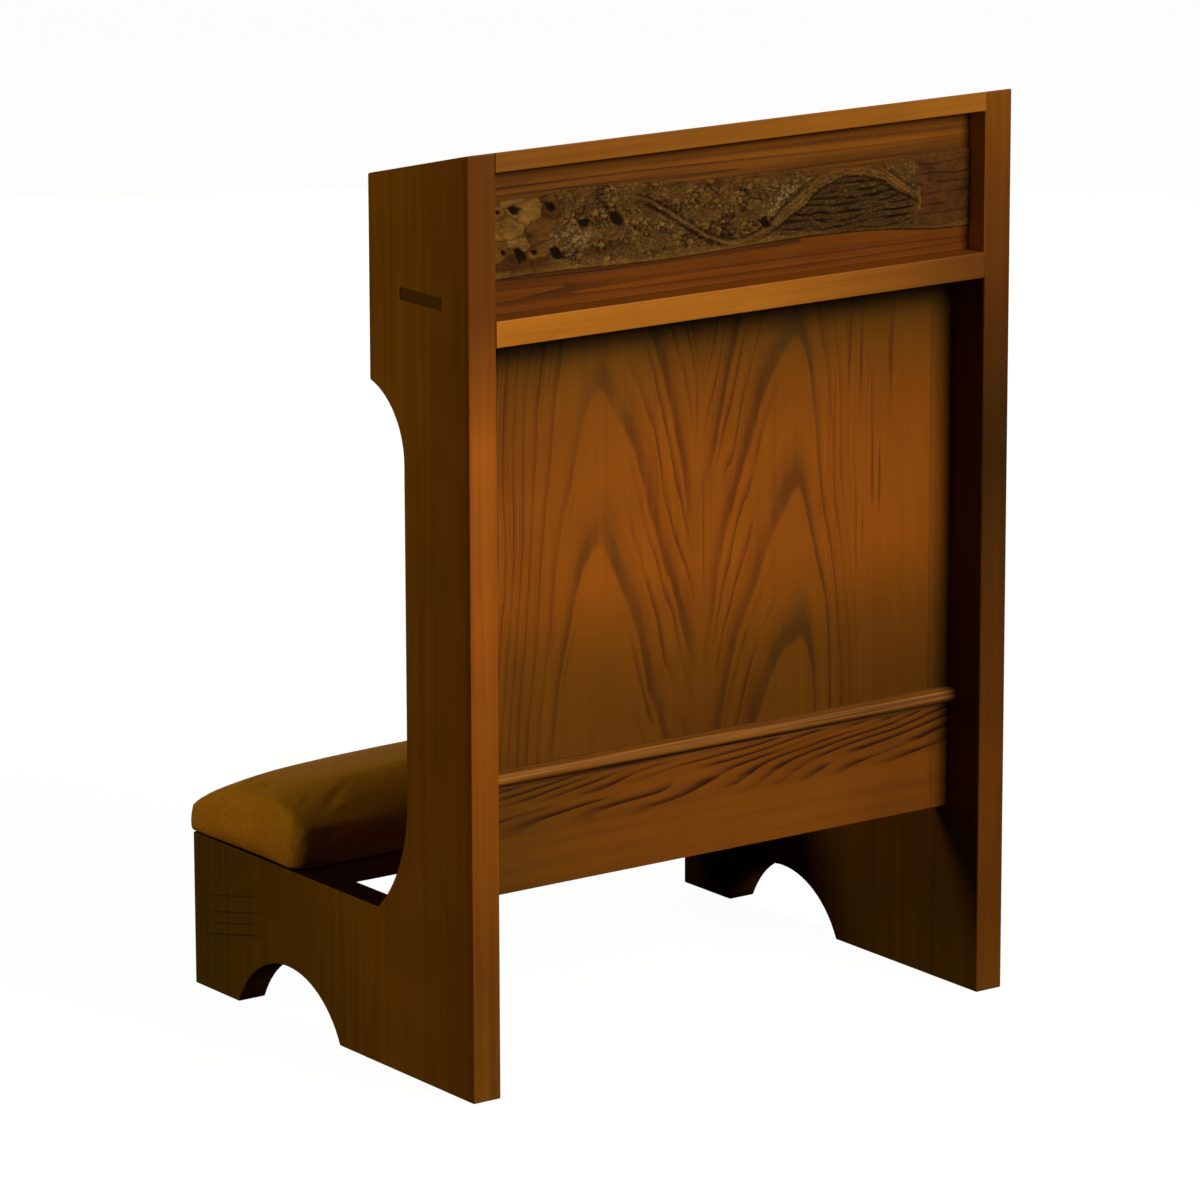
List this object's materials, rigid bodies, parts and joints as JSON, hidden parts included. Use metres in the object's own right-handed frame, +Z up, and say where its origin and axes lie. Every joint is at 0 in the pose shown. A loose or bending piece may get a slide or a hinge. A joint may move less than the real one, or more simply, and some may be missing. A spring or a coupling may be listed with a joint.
{
  "type": "prie-dieu",
  "caption": "Oak prayer kneeler with shaped sides, a sloping desk over an open book shelf, a recessed front panel, a carved frieze and a crowned upholstered pad.",
  "frame": {"origin": "on the floor, at the middle of the object's box", "axes": "+Z up; -Y towards the panelled front that the picture shows, +Y towards the pad; +X to the right as seen from that front"},
  "size_m": [0.617, 0.47, 0.8638],
  "materials": {
    "oak": "stained, satin varnish",
    "oak_veneer": "satin varnish",
    "oak_carved": "rough, dull",
    "oak_inside": "thin varnish",
    "plywood": "bare",
    "foam": "open-cell foam",
    "vinyl": "grained, satin",
    "dowel": "bare",
    "screw": "zinc plated"
  },
  "bodies": {
    "root": {"left_side_panel": "oak", "right_side_panel": "oak", "desk_board": "oak", "frieze_panel": "oak", "shelf_rail": "oak", "ledge_moulding": "oak", "lower_rail": "oak", "kneeler_board": "oak", "kneeler_rear_rail": "oak", "main_panel": "oak_veneer", "frieze_carving": "oak_carved", "book_shelf": "oak_inside", "left_kneeler_cleat": "oak_inside", "right_kneeler_cleat": "oak_inside", "pad_board": "plywood", "pad_foam": "foam", "pad_cover": "vinyl", "desk_dowel_left_1": "dowel", "desk_dowel_left_2": "dowel", "desk_dowel_left_3": "dowel", "shelf_rail_dowel_left_1": "dowel", "shelf_rail_dowel_left_2": "dowel", "lower_rail_dowel_left_1": "dowel", "lower_rail_dowel_left_2": "dowel", "rear_rail_dowel_left_1": "dowel", "rear_rail_dowel_left_2": "dowel", "desk_dowel_right_1": "dowel", "desk_dowel_right_2": "dowel", "desk_dowel_right_3": "dowel", "shelf_rail_dowel_right_1": "dowel", "shelf_rail_dowel_right_2": "dowel", "lower_rail_dowel_right_1": "dowel", "lower_rail_dowel_right_2": "dowel", "rear_rail_dowel_right_1": "dowel", "rear_rail_dowel_right_2": "dowel", "cleat_screw_left_1": "screw", "cleat_screw_left_2": "screw", "cleat_screw_left_3": "screw", "pad_screw_left_front": "screw", "pad_screw_left_rear": "screw", "cleat_screw_right_1": "screw", "cleat_screw_right_2": "screw", "cleat_screw_right_3": "screw", "pad_screw_right_front": "screw", "pad_screw_right_rear": "screw"}
  },
  "joints": []
}
